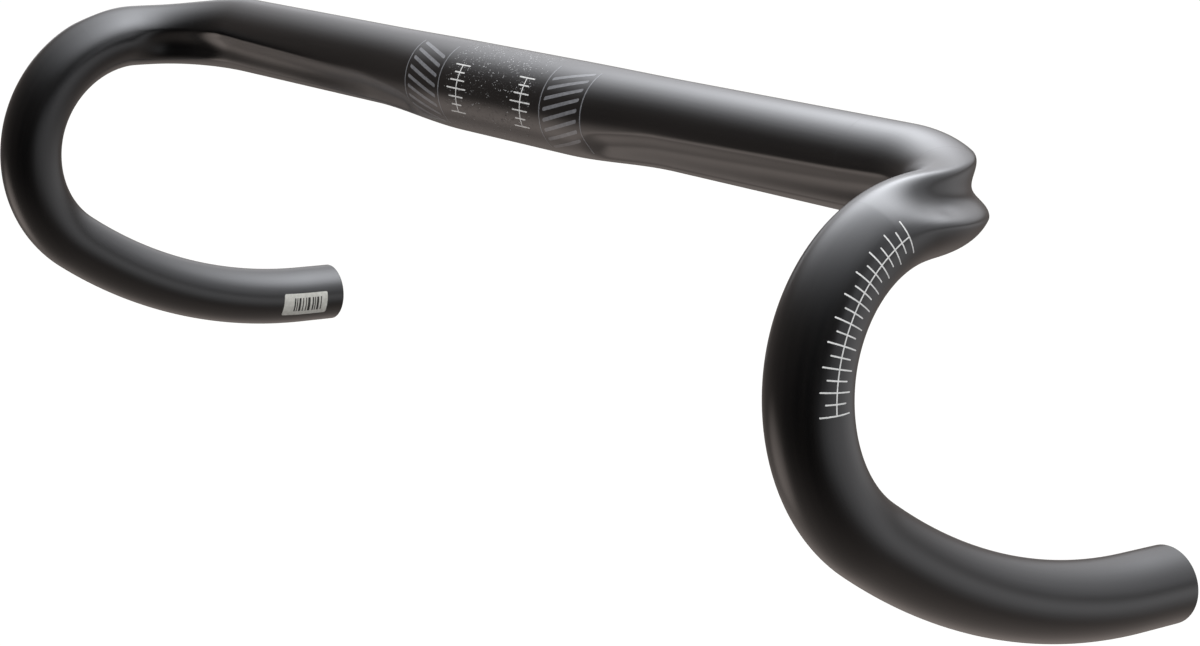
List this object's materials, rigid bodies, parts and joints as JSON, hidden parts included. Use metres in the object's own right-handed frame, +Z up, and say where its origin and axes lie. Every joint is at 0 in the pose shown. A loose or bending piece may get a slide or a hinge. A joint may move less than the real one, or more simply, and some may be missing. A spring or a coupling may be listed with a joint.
{
  "type": "drop handlebar",
  "caption": "Compact drop handlebar with channelled tops, a round stem clamp zone, curved hooks and open bar ends.",
  "frame": {"origin": "centre of the round stem clamp zone, on its axis", "axes": "+X along the clamp axis to the rider's left, -Y forwards in the direction of travel, +Z up"},
  "size_m": [0.4854, 0.1542, 0.1514],
  "materials": {
    "carbon": "satin clear coat over black moulded carbon fibre",
    "raw_carbon": "uncoated carbon fibre, peel-ply texture",
    "adhesive": "cured black epoxy, trimmed flush"
  },
  "bodies": {
    "root": {"centre_section": "carbon", "left_bend_section": "carbon", "left_ramp_section": "carbon", "left_drop_section": "carbon", "left_tops_joint_ferrule": "raw_carbon", "left_tops_joint_adhesive": "adhesive", "left_bend_joint_ferrule": "raw_carbon", "left_bend_joint_adhesive": "adhesive", "left_ramp_joint_ferrule": "raw_carbon", "left_ramp_joint_adhesive": "adhesive", "right_bend_section": "carbon", "right_ramp_section": "carbon", "right_drop_section": "carbon", "right_tops_joint_ferrule": "raw_carbon", "right_tops_joint_adhesive": "adhesive", "right_bend_joint_ferrule": "raw_carbon", "right_bend_joint_adhesive": "adhesive", "right_ramp_joint_ferrule": "raw_carbon", "right_ramp_joint_adhesive": "adhesive"}
  },
  "joints": []
}
